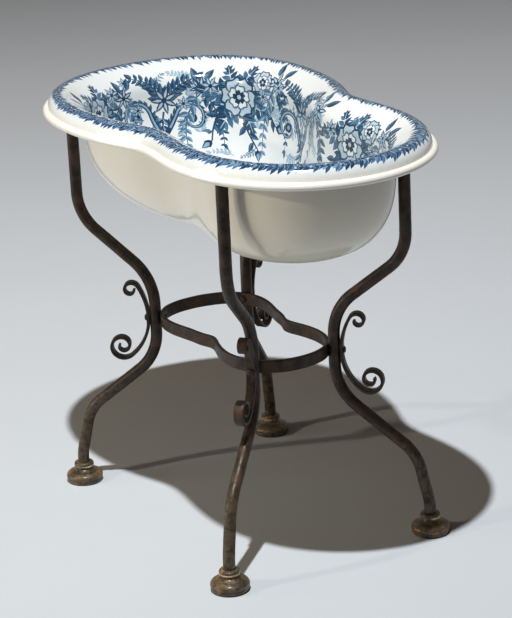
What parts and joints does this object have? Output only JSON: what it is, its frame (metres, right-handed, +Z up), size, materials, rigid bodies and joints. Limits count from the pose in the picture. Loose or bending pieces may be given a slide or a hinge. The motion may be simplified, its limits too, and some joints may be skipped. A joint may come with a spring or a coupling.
{
  "type": "bidet",
  "caption": "Violin-shaped glazed bidet basin that hangs by its rolled rim in a legged wrought-iron stand with a waist ring, scrolls and domed cast feet.",
  "frame": {"origin": "on the floor under the middle of the basin's rim", "axes": "+Z up, +Y along the basin towards its broad end, X across it"},
  "size_m": [0.322, 0.5418, 0.465],
  "materials": {
    "glazed_earthenware": "clear gloss glaze, ivory body, blue print inside",
    "wrought_iron": "dark, waxed, with rust in the hollows",
    "foot_iron": "olive brown, worn and rusty"
  },
  "bodies": {
    "stand": {"top_hoop": "wrought_iron", "waist_ring": "wrought_iron", "leg_left": "wrought_iron", "leg_front": "wrought_iron", "leg_right": "wrought_iron", "leg_back": "wrought_iron", "scroll_left": "wrought_iron", "scroll_front": "wrought_iron", "scroll_right": "wrought_iron", "scroll_back": "wrought_iron", "waist_rivet_left": "wrought_iron", "waist_rivet_front": "wrought_iron", "waist_rivet_right": "wrought_iron", "waist_rivet_back": "wrought_iron", "hoop_rivet_left": "wrought_iron", "hoop_rivet_front": "wrought_iron", "hoop_rivet_right": "wrought_iron", "hoop_rivet_back": "wrought_iron", "foot_left": "foot_iron", "foot_front": "foot_iron", "foot_right": "foot_iron", "foot_back": "foot_iron"},
    "basin": {"basin": "glazed_earthenware"}
  },
  "joints": [
    {"name": "basin_lift", "type": "slide", "parent": "stand", "child": "basin", "axis": [0, 0, 1], "range_m": [0, 0.15]}
  ]
}
